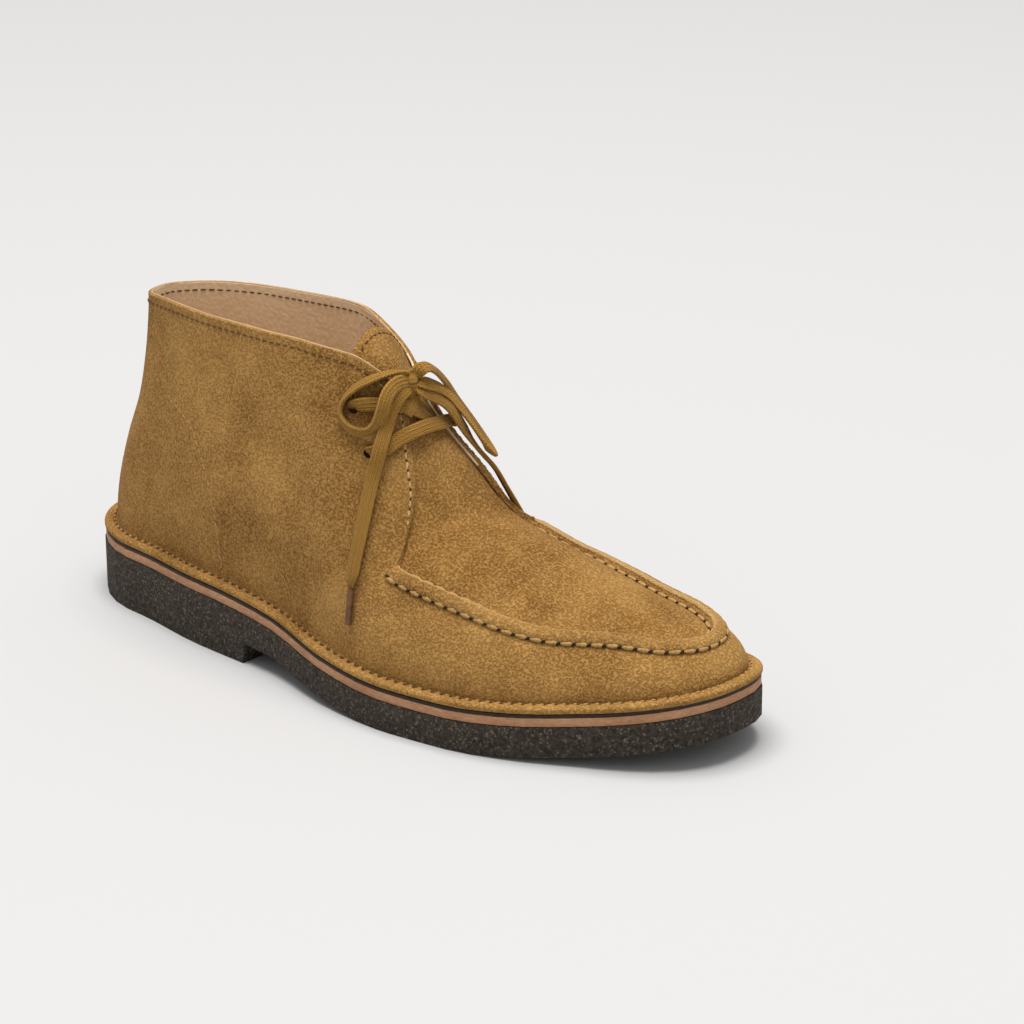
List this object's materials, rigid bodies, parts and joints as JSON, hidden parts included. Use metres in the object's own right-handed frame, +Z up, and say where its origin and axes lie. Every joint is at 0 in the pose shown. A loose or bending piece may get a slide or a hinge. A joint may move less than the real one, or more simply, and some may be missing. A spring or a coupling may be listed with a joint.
{
  "type": "chukka boot",
  "caption": "Ankle-high moccasin-toe chukka boot, right foot: suede upper open at the collar, tied over a tongue, on a stitched-down crepe sole with a heel block.",
  "frame": {"origin": "on the floor, under the middle of the boot's length and width", "axes": "+X towards the toe, +Y towards the wearer's left (the medial side of this right boot), +Z up"},
  "size_m": [0.3008, 0.1045, 0.1308],
  "materials": {
    "upper": "golden tan suede, soft nap",
    "apron_tongue": "golden tan suede, soft nap",
    "backstay": "golden tan suede strip",
    "insole": "smooth pinkish beige leather",
    "welt_layer": "thin dark leather layer",
    "midsole": "natural tan leather edge",
    "outsole": "dark brown granular crepe rubber",
    "lace": "flat golden tan cotton braid, ribbed lengthwise",
    "aglet": "glossy brown plastic tip"
  },
  "bodies": {
    "root": {"upper": "upper", "apron_tongue": "apron_tongue", "backstay": "backstay", "insole": "insole", "welt_layer": "welt_layer", "midsole": "midsole", "outsole": "outsole", "lace_upper_bar": "lace", "lace_lower_bar": "lace", "lace_knot": "lace", "lace_loop_lateral": "lace", "lace_loop_medial": "lace", "lace_end_lateral": "lace", "lace_end_medial": "lace", "aglet_lateral": "aglet", "aglet_medial": "aglet"}
  },
  "joints": []
}
